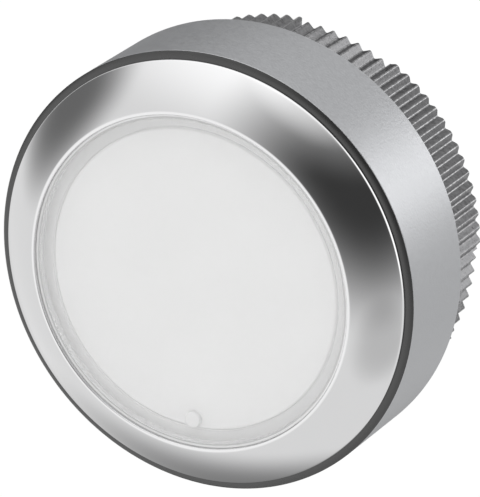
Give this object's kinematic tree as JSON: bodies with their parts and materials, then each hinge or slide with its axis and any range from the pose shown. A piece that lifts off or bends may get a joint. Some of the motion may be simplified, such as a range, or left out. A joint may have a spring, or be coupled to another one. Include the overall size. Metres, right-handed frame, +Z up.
{
  "type": "illuminated push button",
  "caption": "Round momentary push button with a clear lens over a white diffuser, chromed front ring, satin collar, lamp and contacts in a short threaded neck, and a knurled fixing nut.",
  "frame": {"origin": "on the button's axis, at the plane of the collar's rear face, which lies on the panel's front face", "axes": "+Y along the axis from the front to the rear, +Z up, so that the lens faces -Y"},
  "size_m": [0.0295, 0.0225, 0.0294],
  "materials": {
    "satin_metal": "satin plated zinc casting with a fine grain",
    "polished_chrome": "polished",
    "dark_plastic": "fine matt",
    "clear_plastic": "clear, polished",
    "opal_plastic": "opal white",
    "white_plastic": "moulded white",
    "black_rubber": "matt",
    "spring_steel": "bright",
    "contact_brass": "tinned edges, plain",
    "contact_silver": "plain silver",
    "black_plastic": "moulded black",
    "board_laminate": "lacquered laminate",
    "lamp_resin": "clear resin over phosphor",
    "resistor_ceramic": "plain",
    "nut_metal": "plated zinc casting"
  },
  "bodies": {
    "head": {"housing": "satin_metal", "front_ring": "polished_chrome", "shadow_ring": "dark_plastic", "button_seal": "black_rubber", "return_spring": "spring_steel", "contact_tips": "contact_silver", "contact_terminals": "contact_brass", "contact_base": "black_plastic", "base_retaining_ring": "spring_steel", "led_board": "board_laminate", "led_lamp": "lamp_resin", "series_resistor": "resistor_ceramic", "led_terminals": "contact_brass", "panel_gasket": "black_rubber"},
    "button": {"lens_cap": "clear_plastic", "diffuser_disc": "opal_plastic", "button_carrier": "white_plastic", "contact_bridge": "contact_brass", "bridge_tips": "contact_silver"},
    "washer": {"lock_washer": "spring_steel"},
    "nut": {"ring_nut": "nut_metal"}
  },
  "joints": [
    {"name": "button_press", "type": "slide", "parent": "head", "child": "button", "axis": [0, 1, 0], "range_m": [0, 0.0024], "stiffness_N_per_m": 900, "springref_m": -0.0025, "deforming": ["return_spring"]},
    {"name": "washer_advance", "type": "slide", "parent": "head", "child": "washer", "axis": [0, 1, 0], "range_m": [0, 0.00276]},
    {"name": "nut_turn", "type": "hinge", "parent": "washer", "child": "nut", "pos_m": [0, 0.0037, 0], "axis": [0, 1, 0], "range_deg": [0, 660]}
  ],
  "couplings": [
    {"joint": "washer_advance", "follows": "nut_turn", "m_per_rad": 0.00023873}
  ]
}
